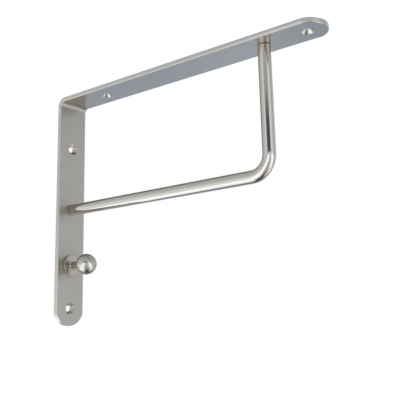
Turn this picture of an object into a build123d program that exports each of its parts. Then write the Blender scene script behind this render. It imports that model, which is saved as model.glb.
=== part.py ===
from build123d import *
from math import radians, tan
import os

# Clothes rail bracket. A flat steel strip is bent square: its leg goes down the wall and its arm
# goes out under a shelf. A round bar bent to an L closes the corner and carries the hangers,
# and a turned knob below it takes a coat. Screws hidden behind the strip hold the bar and the knob.
# Units are millimetres. +Z is up, the wall is the plane Y = 0 and the arm points along -Y.
# The origin lies on the wall, midway between the two wall holes.

# Flat strip: its end radius is larger than half its width by the flatness
strip_width = 30.0
strip_thickness = 4.0
strip_edge_radius = 0.5
strip_bend_inner_radius = 4.0
strip_end_flatness = 1.0

# Holes for the wall and shelf screws, countersunk on the visible side
fixing_hole_diameter = 5.5
fixing_countersink_diameter = 10.3
countersink_angle = 90.0
wall_hole_drop = 46.0
wall_hole_pitch = 144.0
shelf_hole_setback = 48.0
shelf_hole_pitch = 204.0
outer_hole_to_tip = 15.0

# Round rail: drop is measured from the shelf's face, reach from the wall
rail_diameter = 10.0
rail_drop = 103.0
rail_reach = 215.0
rail_bend_radius = 15.5
rail_end_chamfer = 0.5

# Coat knob, turned from bar: its drop is measured from the shelf's face
knob_drop = 153.0
knob_flange_diameter = 19.0
knob_flange_thickness = 3.0
knob_flange_chamfer = 0.4
knob_neck_diameter = 7.0
knob_neck_length = 8.7
knob_neck_root_radius = 0.8
knob_ball_diameter = 18.0

# Countersunk screws with a hexagon socket
rail_screw_diameter = 5.0
rail_screw_head_diameter = 9.4
rail_screw_length = 16.0
rail_screw_key = 3.0
rail_screw_key_depth = 2.0
knob_screw_diameter = 4.0
knob_screw_head_diameter = 7.6
knob_screw_length = 12.0
knob_screw_key = 2.5
knob_screw_key_depth = 1.6
screw_tip_chamfer = 0.5

# Clearances
screw_head_sink = 0.2
screw_seat_gap = 0.05
screw_hole_gap = 0.15
screw_thread_gap = 0.05
bore_run_out = 2.0
drill_point_angle = 118.0

# Heights, slopes and planes that follow from the sizes above
shelf_z = wall_hole_drop + wall_hole_pitch / 2
arm_under_z = shelf_z - strip_thickness
leg_tip_z = -wall_hole_pitch / 2 - outer_hole_to_tip
arm_tip_y = -(shelf_hole_setback + shelf_hole_pitch + outer_hole_to_tip)
strip_end_radius = strip_width / 2 + strip_end_flatness
strip_end_depth = strip_end_radius - (strip_end_radius**2 - (strip_width / 2) ** 2) ** 0.5
rail_z = shelf_z - rail_drop
knob_z = shelf_z - knob_drop
countersink_slope = tan(radians(countersink_angle / 2))
drill_point_slope = 1 / tan(radians(drill_point_angle / 2))
knob_ball_radius = knob_ball_diameter / 2
knob_ball_rise = (knob_ball_radius**2 - (knob_neck_diameter / 2) ** 2) ** 0.5
knob_ball_centre = knob_flange_thickness + knob_neck_length + knob_ball_rise

# Seats of the hidden screws on the strip's outer face, and of the pieces on its inner face.
# Each plane faces the wall or the shelf.
rail_wall_screw_seat = Plane(origin=(0, 0, rail_z), x_dir=(1, 0, 0), z_dir=(0, 1, 0))
rail_shelf_screw_seat = Plane(origin=(0, -rail_reach, shelf_z), x_dir=(1, 0, 0), z_dir=(0, 0, 1))
knob_screw_seat = Plane(origin=(0, 0, knob_z), x_dir=(1, 0, 0), z_dir=(0, 1, 0))
rail_wall_end = rail_wall_screw_seat.offset(-strip_thickness)
rail_shelf_end = rail_shelf_screw_seat.offset(-strip_thickness)

# Visible faces of the strip, facing out of the steel, and the arm's top face
leg_front = Plane(origin=(0, -strip_thickness, 0), x_dir=(1, 0, 0), z_dir=(0, -1, 0))
arm_under = Plane(origin=(0, 0, arm_under_z), x_dir=(-1, 0, 0), z_dir=(0, 0, -1))
arm_top = Plane(origin=(0, 0, shelf_z), x_dir=(1, 0, 0), z_dir=(0, 0, 1))

# Half section of the knob: local x is the radius and local y the height above the strip
knob_section = Plane(origin=(0, -strip_thickness, knob_z), x_dir=(1, 0, 0), z_dir=(0, 0, -1))


def screw_sink_radius(head_diameter):
    """Radius, at the strip's face, of the countersink that seats a sunk screw head."""
    return head_diameter / 2 + screw_head_sink * countersink_slope + screw_seat_gap


def bore_depth(screw_length):
    """Depth of the tapped bore behind the strip for a screw of this length."""
    return screw_length - strip_thickness + bore_run_out


def countersunk_screw(seat, diameter, head_diameter, length, key, key_depth):
    """Socket screw driven into a seat plane that faces out of the strip."""
    section = Plane(origin=seat.origin, x_dir=seat.x_dir, z_dir=-seat.y_dir)
    radius = diameter / 2
    head_radius = head_diameter / 2
    neck_height = -screw_head_sink - (head_radius - radius) / countersink_slope
    with BuildPart() as screw:
        with BuildSketch(section):
            with BuildLine():
                Polyline(
                    (0, -screw_head_sink),
                    (head_radius, -screw_head_sink),
                    (radius, neck_height),
                    (radius, -length + screw_tip_chamfer),
                    (radius - screw_tip_chamfer, -length),
                    (0, -length),
                    close=True,
                )
            make_face()
        revolve(axis=Axis(seat.origin, seat.z_dir))
        with BuildSketch(seat.offset(-screw_head_sink)):
            RegularPolygon(radius=key / 2, side_count=6, major_radius=False)
        extrude(amount=-key_depth, mode=Mode.SUBTRACT)
    return screw


# Bent strip
with BuildPart() as bracket_strip:
    with BuildLine(Plane.YZ):
        strip_line = FilletPolyline(
            (-strip_thickness / 2, leg_tip_z),
            (-strip_thickness / 2, shelf_z - strip_thickness / 2),
            (arm_tip_y, shelf_z - strip_thickness / 2),
            radius=strip_bend_inner_radius + strip_thickness / 2,
        )
    with BuildSketch(Plane(origin=strip_line @ 0, x_dir=(1, 0, 0), z_dir=strip_line % 0)):
        Rectangle(strip_width, strip_thickness)
    sweep(path=strip_line)

    # Round ends of the leg and the arm, a little flatter than a half circle, so that they
    # meet the sides at a slight corner
    for face_plane, tip in ((leg_front, leg_tip_z), (arm_top, arm_tip_y)):
        with BuildSketch(face_plane):
            with Locations((0, tip)):
                Rectangle(strip_width, strip_end_depth, align=(Align.CENTER, Align.MIN))
            with Locations((0, tip + strip_end_radius)):
                Circle(strip_end_radius, mode=Mode.SUBTRACT)
        extrude(amount=-strip_thickness, mode=Mode.SUBTRACT)

    # Rounded edges of the rolled flat bar, all round both faces: the shortest edges that
    # don't cross the width are the seams through its thickness, and stay as they are
    outline_edges = edges().filter_by(Axis.X, reverse=True)
    thickness_seams = outline_edges.group_by(SortBy.LENGTH)[0]
    fillet(outline_edges - thickness_seams, strip_edge_radius)

    # Wall and shelf screw holes
    wall_holes = [(0, wall_hole_pitch / 2), (0, -wall_hole_pitch / 2)]
    shelf_holes = [(0, -shelf_hole_setback), (0, -shelf_hole_setback - shelf_hole_pitch)]
    for face_plane, points in ((leg_front, wall_holes), (arm_under, shelf_holes)):
        with Locations(face_plane):
            with Locations(*points):
                CounterSinkHole(
                    fixing_hole_diameter / 2,
                    fixing_countersink_diameter / 2,
                    counter_sink_angle=countersink_angle,
                )

    # Seats of the hidden screws
    screw_seats = (
        (rail_wall_screw_seat, rail_screw_diameter, rail_screw_head_diameter),
        (rail_shelf_screw_seat, rail_screw_diameter, rail_screw_head_diameter),
        (knob_screw_seat, knob_screw_diameter, knob_screw_head_diameter),
    )
    for seat, diameter, head_diameter in screw_seats:
        with Locations(seat):
            CounterSinkHole(
                diameter / 2 + screw_hole_gap,
                screw_sink_radius(head_diameter),
                counter_sink_angle=countersink_angle,
            )

# Round rail, bent from one bar, with both ends chamfered and tapped
with BuildPart() as hanging_rail:
    with BuildLine(Plane.YZ):
        rail_line = FilletPolyline(
            (-strip_thickness, rail_z),
            (-rail_reach, rail_z),
            (-rail_reach, arm_under_z),
            radius=rail_bend_radius,
        )
    with BuildSketch(Plane(origin=rail_line @ 0, z_dir=rail_line % 0)):
        Circle(rail_diameter / 2)
    sweep(path=rail_line)
    end_faces = faces().filter_by(GeomType.PLANE)
    chamfer(end_faces.edges(), rail_end_chamfer)
    rail_bore_radius = rail_screw_diameter / 2 + screw_thread_gap
    rail_bore_depth = bore_depth(rail_screw_length)
    for end_plane in (rail_wall_end, rail_shelf_end):
        with Locations(end_plane):
            Hole(rail_bore_radius, depth=rail_bore_depth)
        with Locations(end_plane.offset(-rail_bore_depth)):
            Cone(
                bottom_radius=0,
                top_radius=rail_bore_radius,
                height=drill_point_slope * rail_bore_radius,
                align=(Align.CENTER, Align.CENTER, Align.MAX),
                mode=Mode.SUBTRACT,
            )

# Turned knob: flange, neck and ball in one piece, tapped from the flange
with BuildPart() as coat_knob:
    knob_bore_radius = knob_screw_diameter / 2 + screw_thread_gap
    knob_bore_depth = bore_depth(knob_screw_length)
    with BuildSketch(knob_section):
        Rectangle(knob_flange_diameter / 2, knob_flange_thickness, align=(Align.MIN, Align.MIN))
        flange_rim = (knob_flange_diameter / 2, knob_flange_thickness)
        chamfer(vertices().sort_by_distance(flange_rim)[0], knob_flange_chamfer)
        Rectangle(knob_neck_diameter / 2, knob_ball_centre, align=(Align.MIN, Align.MIN))
        neck_root = (knob_neck_diameter / 2, knob_flange_thickness)
        fillet(vertices().sort_by_distance(neck_root)[0], knob_neck_root_radius)
        with Locations((0, knob_ball_centre)):
            Circle(knob_ball_radius)
            Rectangle(
                knob_ball_diameter,
                knob_ball_diameter,
                align=(Align.MAX, Align.CENTER),
                mode=Mode.SUBTRACT,
            )
        with BuildLine():
            Polyline(
                (0, 0),
                (knob_bore_radius, 0),
                (knob_bore_radius, knob_bore_depth),
                (0, knob_bore_depth + drill_point_slope * knob_bore_radius),
                close=True,
            )
        make_face(mode=Mode.SUBTRACT)
    revolve(axis=Axis(knob_section.origin, knob_section.y_dir))

# Hidden screws: two hold the rail's ends and one holds the knob
rail_screw_sizes = (
    rail_screw_diameter,
    rail_screw_head_diameter,
    rail_screw_length,
    rail_screw_key,
    rail_screw_key_depth,
)
knob_screw_sizes = (
    knob_screw_diameter,
    knob_screw_head_diameter,
    knob_screw_length,
    knob_screw_key,
    knob_screw_key_depth,
)
rail_wall_screw = countersunk_screw(rail_wall_screw_seat, *rail_screw_sizes)
rail_shelf_screw = countersunk_screw(rail_shelf_screw_seat, *rail_screw_sizes)
knob_screw = countersunk_screw(knob_screw_seat, *knob_screw_sizes)

bracket_strip.part.label = "bracket_strip"
hanging_rail.part.label = "hanging_rail"
coat_knob.part.label = "coat_knob"
rail_wall_screw.part.label = "rail_wall_screw"
rail_shelf_screw.part.label = "rail_shelf_screw"
knob_screw.part.label = "knob_screw"

os.makedirs("parts", exist_ok=True)
export_step(bracket_strip.part, "parts/bracket_strip.step")
export_step(hanging_rail.part, "parts/hanging_rail.step")
export_step(coat_knob.part, "parts/coat_knob.step")
export_step(rail_wall_screw.part, "parts/rail_wall_screw.step")
export_step(rail_shelf_screw.part, "parts/rail_shelf_screw.step")
export_step(knob_screw.part, "parts/knob_screw.step")
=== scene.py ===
import math

import bpy
from mathutils import Matrix, Vector


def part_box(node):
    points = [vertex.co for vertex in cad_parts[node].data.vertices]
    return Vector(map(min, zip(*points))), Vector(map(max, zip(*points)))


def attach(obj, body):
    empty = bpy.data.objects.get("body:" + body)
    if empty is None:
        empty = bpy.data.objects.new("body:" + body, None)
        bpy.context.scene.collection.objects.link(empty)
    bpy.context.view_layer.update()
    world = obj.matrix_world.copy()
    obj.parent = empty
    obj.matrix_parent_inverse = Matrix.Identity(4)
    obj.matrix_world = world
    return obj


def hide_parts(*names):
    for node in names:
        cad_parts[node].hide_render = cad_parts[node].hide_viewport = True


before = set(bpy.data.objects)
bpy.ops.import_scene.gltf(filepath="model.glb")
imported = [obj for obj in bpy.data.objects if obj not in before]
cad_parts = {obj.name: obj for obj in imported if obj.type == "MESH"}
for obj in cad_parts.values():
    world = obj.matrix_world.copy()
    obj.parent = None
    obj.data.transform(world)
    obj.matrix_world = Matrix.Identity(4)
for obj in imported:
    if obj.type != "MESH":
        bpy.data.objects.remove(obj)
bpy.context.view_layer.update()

# Colours of the plating: satin nickel, a little brighter where the bar was polished round, and zinc
STRIP_NICKEL = (0.427, 0.393, 0.331)
RAIL_NICKEL = (0.485, 0.444, 0.372)
KNOB_NICKEL = (0.445, 0.407, 0.340)
SCREW_ZINC = (0.600, 0.580, 0.525)

# How rough each finish is, and how deep its marks are in metres
ARM_ROUGHNESS = 0.19
LEG_ROUGHNESS = 0.26
RAIL_ROUGHNESS = 0.12
KNOB_ROUGHNESS = 0.20
SCREW_ROUGHNESS = 0.30
FINE_MARKS = 0.0000008
COARSE_MARKS = 0.0000040

# Haze: the share of the light that the strip's ground wide faces scatter widely, and how widely
ARM_HAZE = 0.15
LEG_HAZE = 0.45
HAZE_ROUGHNESS = 0.60

# How rough the strip's narrow sides, cut ends and screw holes are beside its wide faces, and how much their
# colour is brightened as a painted sheen
SIDE_ROUGHNESS = 0.7
SIDE_PAINTED_SHEEN = 1.14

# Marks, cloudy tone and orange peel: grains to the metre each way, and how many finer layers they have
MARK_GRAINS = ((3200.0, 60.0, 60.0), 2.0)
CLOUD_GRAINS = ((48.0, 48.0, 48.0), 3.0)
PEEL_GRAINS = ((2400.0, 2400.0, 2400.0), 1.0)
GRAIN_HARSHNESS = 0.55

# How far the tone goes either way, as a share of the colour, and how far the roughness goes, while the noise
# goes through the range given, and how much of each is marks rather than clouds
GRAIN_RANGE = (0.3, 0.7)
TONE_SWING = 0.03
ROUGHNESS_SWING = 0.03
MARKS_IN_TONE = 0.35
MARKS_IN_ROUGHNESS = 0.5
PEEL_IN_BUMP = 0.4

# Where the turning marks on the knob centre, and where the leg gives way to the arm, in metres
KNOB_AXIS_HEIGHT = -0.035
LEG_FACE = -0.004
BEND_END = -0.009

# The strip's bend centre, and how far the middle of its thickness lies from it, in metres
BEND_CENTRE = (-0.008, 0.110)
BEND_MIDDLE = 0.006
HALF_THICKNESS = 0.002

# Where the wide faces give way to the surfaces between them, off the middle of the thickness, in metres
WIDE_FACE_FADE = (0.00175, 0.00185)

# Narrow sides, in metres: how round they are, and where that starts, clear of the screw holes and cut ends
SIDE_ROUNDING = 0.009
CLEAR_OF_HOLES = (0.0055, 0.0065)
END_ARC_STARTS = (-0.2566, -0.0766)
END_FADE = 0.0006

# Hidden screws, in metres. A ridge of thread is its share of the pitch to each side of its crest.
RAIL_SCREW = dict(diameter=0.0050, head_diameter=0.0094, length=0.0158, key=0.0030, key_depth=0.0020)
KNOB_SCREW = dict(diameter=0.0040, head_diameter=0.0076, length=0.0118, key=0.0025, key_depth=0.0016)
SCREW_HEAD_RIM = 0.0003
SCREW_HEAD_EDGE = 0.0001
SCREW_SOCKET_LIP = 0.00008
SCREW_THREAD_DEPTH = 0.00040
SCREW_THREAD_PITCH = 0.0008
SCREW_THREAD_SINK = 0.00005
SCREW_RIDGE_SHARE = 0.45

# How finely they are made: faces round, steps in each turn of thread, the angle in degrees from which an edge
# is softened, and the angle up to which the shading is smooth
SCREW_SIDES = 48
SCREW_THREAD_STEPS = 24
SCREW_LIP_ANGLE = 50.0
SCREW_SMOOTH_ANGLE = 35.0

# Colour of the studio's light: a little blue, which the nickel's own warmth makes neutral
DAYLIGHT = (0.932, 0.998, 1.137)

# The room that the metal sees. A part of it is given by two turns and then two heights, in degrees, each pair
# followed by the softness of its two edges. Where its sides lean, their degrees of turn for each degree of
# height come last. Turn is measured from +X towards +Y, and is cut where no part crosses it.
TURN_CUT = 20.0

# Walls at each height: palest at eye level, dim overhead and dark straight below
WALL_GREYS = (
    (-78.0, 0.14), (-60.0, 0.50), (-44.0, 0.80), (0.0, 0.93), (25.0, 0.86), (55.0, 0.74), (88.0, 0.58)
)

# Parts of the walls that are dimmer or paler, and by how much
WALL_PARTS = (
    # Behind the bracket
    (((12.0, 92.0, 14.0, 14.0), (-8.0, 75.0, 8.0, 12.0)), 0.42),
    # High on the right of the camera
    (((292.0, 328.0, 16.0, 11.0), (20.0, 75.0, 10.0, 12.0)), 0.80),
    # Low behind the bracket
    (((-5.0, 66.0, 13.0, 12.0), (-80.0, -33.0, 8.0, 9.0)), 0.50),
    # A paler upright stripe in that
    (((29.5, 37.0, 3.0, 5.0), (-44.0, -8.0, 10.0, 8.0)), 1.25),
)

# Soft lights and their strength. The first two lean apart towards the floor, and are wider low down.
LIGHTS = (
    # On the left of the camera
    (
        (
            ((176.0, 214.0, 16.0, 8.0), (-42.0, 13.0, 6.0, 11.0), (1.0, 0.4)),
            ((78.0, 200.0, 12.0, 9.0), (-73.0, -35.0, 6.0, 7.0)),
        ),
        1.30,
    ),
    # On its right
    (
        (
            ((247.0, 284.0, 8.0, 8.0), (-42.0, 8.0, 6.0, 9.0), (-0.5, -0.85)),
            ((244.0, 326.0, 8.0, 13.0), (-66.0, -35.0, 6.0, 7.0), (-0.9, 0.0)),
        ),
        1.25,
    ),
    # What the left one spills on the wall beside it
    ((((104.0, 160.0, 16.0, 12.0), (-42.0, 0.0, 10.0, 11.0)),), 0.50),
    # The same, higher up
    ((((116.0, 146.0, 12.0, 10.0), (-6.0, 30.0, 10.0, 12.0)),), 0.10),
)

# Two pale panels at the height that the rail's upright shows, one on each side of the camera
PANELS = (
    ((142.0, 176.0, 10.0, 5.0), (12.0, 25.0, 2.0, 2.0)),
    ((240.0, 286.0, 5.0, 10.0), (12.0, 25.0, 2.0, 2.0)),
)
PANEL_STRENGTH = 1.30

# Between the panels, a gap that is dark low down and a little dim above, and how much light is left in it
LOW_GAP = ((185.0, 238.0, 6.0, 5.0), (10.5, 19.0, 2.0, 1.0))
HIGH_GAP = ((184.0, 238.0, 6.0, 5.0), (17.0, 22.8, 1.5, 0.6))
HIGH_GAP_DEPTH = 0.25
GAP_LIGHT = 0.06

# The room low behind the bracket is a cool grey, which the arm's underside shows, and the floor near the
# camera is warm
COOL_WALL = ((-5.0, 70.0, 13.0, 14.0), (-50.0, 2.0, 10.0, 10.0))
COOL_GREY = (0.671, 0.786, 0.985)
WARM_FLOOR = ((222.0, 326.0, 12.0, 13.0), (-90.0, -44.0, 5.0, 10.0))
WARM_GREY = (0.932, 0.867, 0.844)

# Floor and lamp, in metres and watts
FLOOR_HEIGHT = -0.450
FLOOR_SIZE = 16.0
FLOOR_PAINT = (0.92, 0.86, 0.755)
FLOOR_FADE = (0.5, 1.4)
LAMP_PLACE = (0.0, -0.12, 1.3)
LAMP_SIZE = 0.6
LAMP_POWER = 6.0

# Camera: its place in metres, its angles in degrees, and its lens in millimetres
CAMERA_PLACE = (-0.41132, -0.467873, -0.094386)
CAMERA_TURN = -51.729
CAMERA_TILT = 103.065
CAMERA_ROLL = -1.274
CAMERA_LENS = 61.636
CAMERA_SENSOR = 36.0
CAMERA_SHIFT = (0.0200, -0.0676)


# Node helpers
def new_material(name):
    material = bpy.data.materials.new(name)
    material.use_nodes = True
    material.node_tree.nodes.clear()
    return material, material.node_tree


def add_node(tree, kind, **settings):
    node = tree.nodes.new(kind)
    for key, value in settings.items():
        setattr(node, key, value)
    return node


def sum_up(tree, operation, first, second=None):
    """A sum on one or two values, each of which is a number or another node's output."""
    node = add_node(tree, "ShaderNodeMath", operation=operation)
    for socket, value in zip(node.inputs, (first, second)):
        if isinstance(value, (int, float)):
            socket.default_value = value
        elif value is not None:
            tree.links.new(value, socket)
    return node.outputs["Value"]


def spread(tree, value, start, end, low=0.0, high=1.0, kind="LINEAR"):
    """Goes from low to high as the value goes from start to end."""
    ranged = add_node(tree, "ShaderNodeMapRange", interpolation_type=kind)
    for socket, number in zip(("From Min", "From Max", "To Min", "To Max"), (start, end, low, high)):
        ranged.inputs[socket].default_value = number
    tree.links.new(value, ranged.inputs["Value"])
    return ranged.outputs["Result"]


def blend_values(tree, first, second, share):
    mix = add_node(tree, "ShaderNodeMix", data_type="FLOAT")
    mix.inputs["Factor"].default_value = share
    tree.links.new(first, mix.inputs["A"])
    tree.links.new(second, mix.inputs["B"])
    return mix.outputs["Result"]


def split_place(tree, place):
    split = add_node(tree, "ShaderNodeSeparateXYZ")
    tree.links.new(place, split.inputs["Vector"])
    return split.outputs


def distance_from_middle(tree, vector):
    length = add_node(tree, "ShaderNodeVectorMath", operation="LENGTH")
    tree.links.new(vector, length.inputs[0])
    return length.outputs["Value"]


def grain(tree, place, stretch, detail):
    """Noise with its own scale along each way, in grains to the metre."""
    mapping = add_node(tree, "ShaderNodeMapping")
    mapping.inputs["Scale"].default_value = stretch
    tree.links.new(place, mapping.inputs["Vector"])
    noise = add_node(tree, "ShaderNodeTexNoise")
    noise.inputs["Scale"].default_value = 1.0
    noise.inputs["Detail"].default_value = detail
    noise.inputs["Roughness"].default_value = GRAIN_HARSHNESS
    tree.links.new(mapping.outputs["Vector"], noise.inputs["Vector"])
    return noise.outputs["Fac"]


# Where the grinding, polishing and turning marks run
def marks_along_strip(tree, place):
    """The flat bar was ground lengthwise, so its marks change only across the width."""
    return place


def marks_round_rail(tree, place):
    """The round bar was polished turning, so its marks change along the bar, on both runs."""
    ways = split_place(tree, place)
    joined = add_node(tree, "ShaderNodeCombineXYZ")
    tree.links.new(sum_up(tree, "ADD", ways["Y"], ways["Z"]), joined.inputs["X"])
    tree.links.new(ways["X"], joined.inputs["Y"])
    return joined.outputs["Vector"]


def marks_round_knob(tree, place):
    """The knob was turned, so its marks change along its axis and outwards from it."""
    ways = split_place(tree, place)
    disc = add_node(tree, "ShaderNodeCombineXYZ")
    tree.links.new(ways["X"], disc.inputs["X"])
    tree.links.new(sum_up(tree, "SUBTRACT", ways["Z"], KNOB_AXIS_HEIGHT), disc.inputs["Y"])
    radius = distance_from_middle(tree, disc.outputs["Vector"])
    joined = add_node(tree, "ShaderNodeCombineXYZ")
    tree.links.new(sum_up(tree, "ADD", ways["Y"], radius), joined.inputs["X"])
    return joined.outputs["Vector"]


# Finishes
def strip_layout(tree, place):
    """Tells places on the strip apart: how far each is off the middle of the thickness, in metres, whether
    it is on a rolled narrow side, and whether it is between the wide faces, cut ends and holes included."""
    ways = split_place(tree, place)
    past = add_node(tree, "ShaderNodeCombineXYZ")
    for way, middle in zip("YZ", BEND_CENTRE):
        beyond = sum_up(tree, "MAXIMUM", sum_up(tree, "SUBTRACT", ways[way], middle), 0.0)
        tree.links.new(beyond, past.inputs[way])
    distance = distance_from_middle(tree, past.outputs["Vector"])
    off_middle = sum_up(tree, "SUBTRACT", distance, BEND_MIDDLE)
    between = spread(tree, sum_up(tree, "ABSOLUTE", off_middle), *WIDE_FACE_FADE, 1.0, 0.0)

    rolled = spread(tree, sum_up(tree, "ABSOLUTE", ways["X"]), *CLEAR_OF_HOLES)
    for way, end_start in zip("YZ", END_ARC_STARTS):
        short_of_end = spread(tree, ways[way], end_start, end_start + END_FADE)
        rolled = sum_up(tree, "MULTIPLY", rolled, short_of_end)
    return off_middle, rolled, between


def side_crown(tree, off_middle, rolled):
    """How far the bar's rolled narrow sides bulge, in metres: most along their middle, nothing elsewhere."""
    fall = sum_up(tree, "MULTIPLY", off_middle, off_middle)
    bulge = sum_up(tree, "DIVIDE", sum_up(tree, "SUBTRACT", HALF_THICKNESS**2, fall), 2 * SIDE_ROUNDING)
    return sum_up(tree, "MULTIPLY", bulge, rolled)


def add_bump(tree, height, distance):
    bump = add_node(tree, "ShaderNodeBump")
    bump.inputs["Strength"].default_value = 1.0
    bump.inputs["Distance"].default_value = distance
    tree.links.new(height, bump.inputs["Height"])
    return bump


def plated_metal(name, colour, marks, roughness, mark_depth, ground_bar=False):
    """Plate over worked steel: cloudy tone, fine marks from grinding or turning, and a slight orange peel.
    The ground bar also has haze on its wide faces, and smoother surfaces between them, whose colour is
    brightened as a painted sheen."""
    material, tree = new_material(name)
    output = add_node(tree, "ShaderNodeOutputMaterial")
    metal = add_node(tree, "ShaderNodeBsdfPrincipled")
    metal.inputs["Metallic"].default_value = 1.0
    surface = metal.outputs["BSDF"]
    place = add_node(tree, "ShaderNodeTexCoord").outputs["Object"]

    lines = grain(tree, marks(tree, place), *MARK_GRAINS)
    clouds = grain(tree, place, *CLOUD_GRAINS)
    peel = grain(tree, place, *PEEL_GRAINS)

    tone = add_node(tree, "ShaderNodeMix", data_type="RGBA")
    tone.inputs["A"].default_value = (*[(1 - TONE_SWING) * share for share in colour], 1.0)
    tone.inputs["B"].default_value = (*[(1 + TONE_SWING) * share for share in colour], 1.0)
    worked = blend_values(tree, clouds, lines, MARKS_IN_TONE)
    tree.links.new(spread(tree, worked, *GRAIN_RANGE), tone.inputs["Factor"])
    base_colour = tone.outputs["Result"]
    worked = blend_values(tree, clouds, lines, MARKS_IN_ROUGHNESS)
    smoothest, roughest = roughness - ROUGHNESS_SWING, roughness + ROUGHNESS_SWING
    mottle = spread(tree, worked, *GRAIN_RANGE, smoothest, roughest)
    bump = add_bump(tree, blend_values(tree, lines, peel, PEEL_IN_BUMP), mark_depth)

    if ground_bar:
        along_wall = split_place(tree, place)["Y"]
        off_middle, rolled, between = strip_layout(tree, place)

        leg_extra = LEG_ROUGHNESS - roughness
        extra = spread(tree, along_wall, BEND_END, LEG_FACE, 0.0, leg_extra, "SMOOTHSTEP")
        smoother = spread(tree, between, 0.0, 1.0, 1.0, SIDE_ROUGHNESS)
        mottle = sum_up(tree, "MULTIPLY", sum_up(tree, "ADD", mottle, extra), smoother)

        # Painted sheen: the narrow sides, cut ends and screw holes get a brighter colour than the wide faces
        brighter = add_node(tree, "ShaderNodeVectorMath", operation="SCALE")
        tree.links.new(base_colour, brighter.inputs[0])
        tree.links.new(spread(tree, between, 0.0, 1.0, 1.0, SIDE_PAINTED_SHEEN), brighter.inputs["Scale"])

        haze = spread(tree, along_wall, BEND_END, LEG_FACE, ARM_HAZE, LEG_HAZE, "SMOOTHSTEP")
        haze = sum_up(tree, "MULTIPLY", haze, sum_up(tree, "SUBTRACT", 1.0, between))
        scatter = add_node(tree, "ShaderNodeBsdfPrincipled")
        scatter.inputs["Metallic"].default_value = 1.0
        scatter.inputs["Roughness"].default_value = HAZE_ROUGHNESS
        tree.links.new(base_colour, scatter.inputs["Base Color"])
        tree.links.new(bump.outputs["Normal"], scatter.inputs["Normal"])
        hazy = add_node(tree, "ShaderNodeMixShader")
        tree.links.new(haze, hazy.inputs["Fac"])
        tree.links.new(surface, hazy.inputs[1])
        tree.links.new(scatter.outputs["BSDF"], hazy.inputs[2])

        crown = add_bump(tree, side_crown(tree, off_middle, rolled), 1.0)
        tree.links.new(crown.outputs["Normal"], bump.inputs["Normal"])
        base_colour = brighter.outputs["Vector"]
        surface = hazy.outputs["Shader"]

    tree.links.new(base_colour, metal.inputs["Base Color"])
    tree.links.new(mottle, metal.inputs["Roughness"])
    tree.links.new(bump.outputs["Normal"], metal.inputs["Normal"])
    tree.links.new(surface, output.inputs["Surface"])
    return material


def finish_node(node_name, material):
    """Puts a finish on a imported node's own mesh."""
    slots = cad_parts[node_name].data.materials
    slots.clear()
    slots.append(material)


strip_finish = plated_metal(
    "satin nickel on flat bar", STRIP_NICKEL, marks_along_strip, ARM_ROUGHNESS, FINE_MARKS, ground_bar=True
)
rail_finish = plated_metal(
    "satin nickel on round bar", RAIL_NICKEL, marks_round_rail, RAIL_ROUGHNESS, FINE_MARKS
)
knob_finish = plated_metal(
    "satin nickel on turned knob", KNOB_NICKEL, marks_round_knob, KNOB_ROUGHNESS, FINE_MARKS
)
screw_finish = plated_metal(
    "bright zinc on screws", SCREW_ZINC, marks_round_knob, SCREW_ROUGHNESS, COARSE_MARKS
)

finish_node("bracket_strip", strip_finish)
finish_node("hanging_rail", rail_finish)
finish_node("coat_knob", knob_finish)


# Hidden screws
def enter_edit(select):
    bpy.ops.object.mode_set(mode="EDIT")
    bpy.ops.mesh.select_all(action=select)


def leave_edit():
    bpy.ops.object.mode_set(mode="OBJECT")


def head_and_core(name, core, diameter, head_diameter, length, neck, tip_taper):
    """A disc at the tip, drawn up ring by ring to the head's rim."""
    bpy.ops.object.select_all(action="DESELECT")
    radius, height = core - tip_taper, -length
    bpy.ops.mesh.primitive_circle_add(
        vertices=SCREW_SIDES, radius=radius, fill_type="NGON", location=(0.0, 0.0, height)
    )
    screw = bpy.context.object
    screw.name = name
    bpy.ops.object.transform_apply(location=True, rotation=False, scale=False)
    enter_edit("SELECT")
    rings = (
        (core, -length + tip_taper),
        (core, neck - SCREW_THREAD_PITCH),
        (diameter / 2, neck),
        (head_diameter / 2, -SCREW_HEAD_RIM),
        (head_diameter / 2, -SCREW_HEAD_EDGE),
        (head_diameter / 2 - SCREW_HEAD_EDGE, 0.0),
    )
    for next_radius, next_height in rings:
        bpy.ops.mesh.extrude_region_move(
            TRANSFORM_OT_translate={"value": (0.0, 0.0, next_height - height)}
        )
        swell = next_radius / radius
        bpy.ops.transform.resize(value=(swell, swell, 1.0))
        radius, height = next_radius, next_height
    leave_edit()
    return screw


def cut_socket(screw, key, key_depth):
    """Cuts a hexagon socket with a drilled point at its bottom, and softens its lip."""
    bpy.ops.object.select_all(action="DESELECT")
    corner = key / math.sqrt(3)
    bpy.ops.mesh.primitive_cylinder_add(
        vertices=6, radius=corner, depth=2 * key_depth, end_fill_type="TRIFAN", location=(0.0, 0.0, 0.0)
    )
    cutter = bpy.context.object
    enter_edit("DESELECT")
    leave_edit()
    for vertex in cutter.data.vertices:
        vertex.select = vertex.co.z < 0 and Vector(vertex.co.xy).length < corner / 2
    bpy.ops.object.mode_set(mode="EDIT")
    bpy.ops.transform.translate(value=(0.0, 0.0, -key / 6))
    leave_edit()
    socket = screw.modifiers.new("socket", "BOOLEAN")
    socket.operation = "DIFFERENCE"
    socket.object = cutter
    lip = screw.modifiers.new("lip", "BEVEL")
    lip.width = SCREW_SOCKET_LIP
    lip.segments = 2
    lip.limit_method = "ANGLE"
    lip.angle_limit = math.radians(SCREW_LIP_ANGLE)
    bpy.ops.object.select_all(action="DESELECT")
    bpy.context.view_layer.objects.active = screw
    screw.select_set(True)
    bpy.ops.object.modifier_apply(modifier="socket")
    bpy.ops.object.modifier_apply(modifier="lip")
    bpy.data.objects.remove(cutter)


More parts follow.
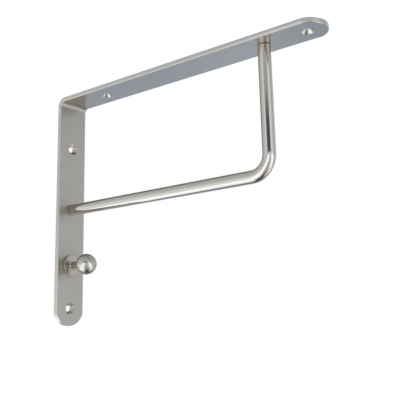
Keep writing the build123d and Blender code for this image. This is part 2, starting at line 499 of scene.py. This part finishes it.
def wind_thread(core, diameter, length, neck, tip_taper):
    """One sharp ridge wound round the core, closed at both ends and sunk a little into it."""
    bpy.ops.object.select_all(action="DESELECT")
    bpy.ops.mesh.primitive_circle_add(vertices=3, radius=1.0, fill_type="NOTHING")
    thread = bpy.context.object
    start = -length + tip_taper + SCREW_THREAD_PITCH / 2
    ridge = (
        (core - SCREW_THREAD_SINK, start - SCREW_RIDGE_SHARE * SCREW_THREAD_PITCH),
        (diameter / 2, start),
        (core - SCREW_THREAD_SINK, start + SCREW_RIDGE_SHARE * SCREW_THREAD_PITCH),
    )
    for vertex, (out, up) in zip(thread.data.vertices, ridge):
        vertex.co = (out, 0.0, up)
    winding = thread.modifiers.new("winding", "SCREW")
    winding.axis = "Z"
    winding.angle = 2 * math.pi
    winding.screw_offset = SCREW_THREAD_PITCH
    winding.iterations = int((neck - SCREW_THREAD_PITCH - start) / SCREW_THREAD_PITCH)
    winding.steps = SCREW_THREAD_STEPS
    winding.render_steps = SCREW_THREAD_STEPS
    bpy.ops.object.modifier_apply(modifier="winding")
    enter_edit("SELECT")
    bpy.ops.mesh.remove_doubles(threshold=0.000001)
    bpy.ops.mesh.fill_holes(sides=3)
    bpy.ops.mesh.select_all(action="SELECT")
    bpy.ops.mesh.normals_make_consistent(inside=False)
    leave_edit()


def countersunk_socket_screw(name, diameter, head_diameter, length, key, key_depth):
    """Stands head up with the middle of its head's top at the origin."""
    core = diameter / 2 - SCREW_THREAD_DEPTH
    neck = -(head_diameter - diameter) / 2 - SCREW_HEAD_RIM
    tip_taper = 2 * SCREW_THREAD_DEPTH
    screw = head_and_core(name, core, diameter, head_diameter, length, neck, tip_taper)
    cut_socket(screw, key, key_depth)
    wind_thread(core, diameter, length, neck, tip_taper)

    # The thread is still selected, and becomes part of the screw
    screw.select_set(True)
    bpy.context.view_layer.objects.active = screw
    bpy.ops.object.join()
    bpy.ops.object.shade_smooth_by_angle(angle=math.radians(SCREW_SMOOTH_ANGLE))
    screw.data.materials.clear()
    screw.data.materials.append(screw_finish)
    return screw


def drive_home(screw, node, turn):
    """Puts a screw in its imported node's place: its head faces the wall or the shelf."""
    low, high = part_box(node)
    seat = (Vector(low) + Vector(high)) / 2
    if turn:
        seat.y = high[1]
    else:
        seat.z = high[2]
    screw.data.transform(Matrix.Translation(seat) @ Matrix.Rotation(math.radians(turn), 4, "X"))
    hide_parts(node)
    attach(screw, "root")


rail_wall = countersunk_socket_screw("threaded_rail_wall_screw", **RAIL_SCREW)
rail_shelf = rail_wall.copy()
rail_shelf.data = rail_wall.data.copy()
rail_shelf.name = "threaded_rail_shelf_screw"
bpy.context.collection.objects.link(rail_shelf)
knob_back = countersunk_socket_screw("threaded_knob_screw", **KNOB_SCREW)
drive_home(rail_wall, "rail_wall_screw", -90.0)
drive_home(rail_shelf, "rail_shelf_screw", 0.0)
drive_home(knob_back, "knob_screw", -90.0)


# Studio
def window(tree, value, start, end, start_edge, end_edge):
    """One between start and end, fading out over the two edges."""
    rise = spread(tree, value, start - start_edge, start + start_edge, 0.0, 1.0, "SMOOTHSTEP")
    fall = spread(tree, value, end - end_edge, end + end_edge, 1.0, 0.0, "SMOOTHSTEP")
    return sum_up(tree, "MULTIPLY", rise, fall)


def patch(tree, turn, height, turns, heights, leans=(0.0, 0.0)):
    """One in a part of the room and zero outside it."""
    start, end, start_edge, end_edge = turns
    from_start = sum_up(tree, "SUBTRACT", turn, sum_up(tree, "MULTIPLY", height, leans[0]))
    from_end = sum_up(tree, "SUBTRACT", turn, sum_up(tree, "MULTIPLY", height, leans[1]))
    rise = spread(tree, from_start, start - start_edge, start + start_edge, 0.0, 1.0, "SMOOTHSTEP")
    fall = spread(tree, from_end, end - end_edge, end + end_edge, 1.0, 0.0, "SMOOTHSTEP")
    upright = window(tree, height, *heights)
    return sum_up(tree, "MULTIPLY", sum_up(tree, "MULTIPLY", rise, fall), upright)


def merged_patches(tree, turn, height, parts, strength):
    """Parts that run into one another without adding up, at one strength."""
    merged = patch(tree, turn, height, *parts[0])
    for part in parts[1:]:
        merged = sum_up(tree, "MAXIMUM", merged, patch(tree, turn, height, *part))
    return sum_up(tree, "MULTIPLY", merged, strength)


def room_strength(tree, turn, height):
    """How bright the room is in each direction."""
    walls = add_node(tree, "ShaderNodeValToRGB")
    stops = walls.color_ramp.elements
    for level, grey in WALL_GREYS:
        stops.new((level + 90.0) / 180.0).color = (grey, grey, grey, 1.0)
    stops.remove(stops[0])
    stops.remove(stops[-1])
    tree.links.new(spread(tree, height, -90.0, 90.0), walls.inputs["Fac"])
    strength = walls.outputs["Color"]
    for part, share in WALL_PARTS:
        changed = spread(tree, patch(tree, turn, height, *part), 0.0, 1.0, 1.0, share)
        strength = sum_up(tree, "MULTIPLY", strength, changed)

    for parts, light in LIGHTS:
        strength = sum_up(tree, "ADD", strength, merged_patches(tree, turn, height, parts, light))
    panels = merged_patches(tree, turn, height, PANELS, PANEL_STRENGTH)
    strength = sum_up(tree, "MAXIMUM", strength, panels)

    high_gap = sum_up(tree, "MULTIPLY", patch(tree, turn, height, *HIGH_GAP), HIGH_GAP_DEPTH)
    gap = sum_up(tree, "MAXIMUM", patch(tree, turn, height, *LOW_GAP), high_gap)
    return sum_up(tree, "MULTIPLY", strength, spread(tree, gap, 0.0, 1.0, 1.0, GAP_LIGHT))


def room_colour(tree, turn, height):
    cooler = add_node(tree, "ShaderNodeMix", data_type="RGBA")
    cooler.inputs["A"].default_value = (*DAYLIGHT, 1.0)
    cooler.inputs["B"].default_value = (*COOL_GREY, 1.0)
    tree.links.new(patch(tree, turn, height, *COOL_WALL), cooler.inputs["Factor"])
    warmer = add_node(tree, "ShaderNodeMix", data_type="RGBA")
    tree.links.new(cooler.outputs["Result"], warmer.inputs["A"])
    warmer.inputs["B"].default_value = (*WARM_GREY, 1.0)
    tree.links.new(patch(tree, turn, height, *WARM_FLOOR), warmer.inputs["Factor"])
    return warmer.outputs["Result"]


def white_room():
    """White to the camera. The metal sees a pale room with a large soft light on each side of the camera."""
    world = bpy.data.worlds.new("white room")
    bpy.context.scene.world = world
    world.use_nodes = True
    tree = world.node_tree
    tree.nodes.clear()
    output = add_node(tree, "ShaderNodeOutputWorld")
    ways = split_place(tree, add_node(tree, "ShaderNodeTexCoord").outputs["Generated"])
    turn = sum_up(tree, "DEGREES", sum_up(tree, "ARCTAN2", ways["Y"], ways["X"]))
    turn = sum_up(tree, "MODULO", sum_up(tree, "ADD", turn, 360.0 + TURN_CUT), 360.0)
    turn = sum_up(tree, "SUBTRACT", turn, TURN_CUT)
    height = sum_up(tree, "DEGREES", sum_up(tree, "ARCSINE", ways["Z"]))

    seen = add_node(tree, "ShaderNodeBackground")
    tree.links.new(room_colour(tree, turn, height), seen.inputs["Color"])
    tree.links.new(room_strength(tree, turn, height), seen.inputs["Strength"])
    plain = add_node(tree, "ShaderNodeBackground")
    plain.inputs["Color"].default_value = (1.0, 1.0, 1.0, 1.0)
    plain.inputs["Strength"].default_value = 1.0
    mix = add_node(tree, "ShaderNodeMixShader")
    tree.links.new(add_node(tree, "ShaderNodeLightPath").outputs["Is Camera Ray"], mix.inputs["Fac"])
    tree.links.new(seen.outputs["Background"], mix.inputs[1])
    tree.links.new(plain.outputs["Background"], mix.inputs[2])
    tree.links.new(mix.outputs["Shader"], output.inputs["Surface"])


def pale_floor():
    """Pale paint near the bracket, where its shadow falls, fading to the white of the room further out."""
    bpy.ops.object.select_all(action="DESELECT")
    bpy.ops.mesh.primitive_plane_add(size=FLOOR_SIZE, location=(0.0, 0.0, FLOOR_HEIGHT))
    floor = bpy.context.object
    floor.name = "studio_floor"
    material, tree = new_material("pale studio floor")
    output = add_node(tree, "ShaderNodeOutputMaterial")
    paint = add_node(tree, "ShaderNodeBsdfDiffuse")
    paint.inputs["Color"].default_value = (*FLOOR_PAINT, 1.0)
    white = add_node(tree, "ShaderNodeEmission")
    white.inputs["Color"].default_value = (1.0, 1.0, 1.0, 1.0)
    white.inputs["Strength"].default_value = 1.0
    distance = distance_from_middle(tree, add_node(tree, "ShaderNodeTexCoord").outputs["Object"])
    far = spread(tree, distance, *FLOOR_FADE, 0.0, 1.0, "SMOOTHSTEP")
    camera_ray = add_node(tree, "ShaderNodeLightPath").outputs["Is Camera Ray"]
    mix = add_node(tree, "ShaderNodeMixShader")
    tree.links.new(sum_up(tree, "MULTIPLY", far, camera_ray), mix.inputs["Fac"])
    tree.links.new(paint.outputs["BSDF"], mix.inputs[1])
    tree.links.new(white.outputs["Emission"], mix.inputs[2])
    tree.links.new(mix.outputs["Shader"], output.inputs["Surface"])
    floor.data.materials.append(material)
    floor.visible_glossy = False
    floor.visible_shadow = False


def overhead_light():
    """A soft light above that casts the shadow on the floor and leaves no mark in the metal."""
    lamp = bpy.data.lights.new("overhead light", "AREA")
    lamp.size = LAMP_SIZE
    lamp.energy = LAMP_POWER
    lamp.color = [share / max(DAYLIGHT) for share in DAYLIGHT]
    stand = bpy.data.objects.new("overhead light", lamp)
    bpy.context.collection.objects.link(stand)
    stand.location = LAMP_PLACE
    stand.visible_glossy = False


def set_camera():
    """Stands low, to the left of the arm's tip, and looks up at the arm's underside."""
    camera = bpy.data.cameras.new("camera")
    camera.sensor_width = CAMERA_SENSOR
    camera.lens = CAMERA_LENS
    camera.shift_x, camera.shift_y = CAMERA_SHIFT
    stand = bpy.data.objects.new("camera", camera)
    bpy.context.collection.objects.link(stand)
    turn = Matrix.Rotation(math.radians(CAMERA_TURN), 4, "Z")
    tilt = Matrix.Rotation(math.radians(CAMERA_TILT), 4, "X")
    roll = Matrix.Rotation(math.radians(CAMERA_ROLL), 4, "Z")
    stand.matrix_world = Matrix.Translation(CAMERA_PLACE) @ turn @ tilt @ roll
    bpy.context.scene.camera = stand


set_camera()
white_room()
pale_floor()
overhead_light()

bpy.context.scene.view_settings.view_transform = "Standard"
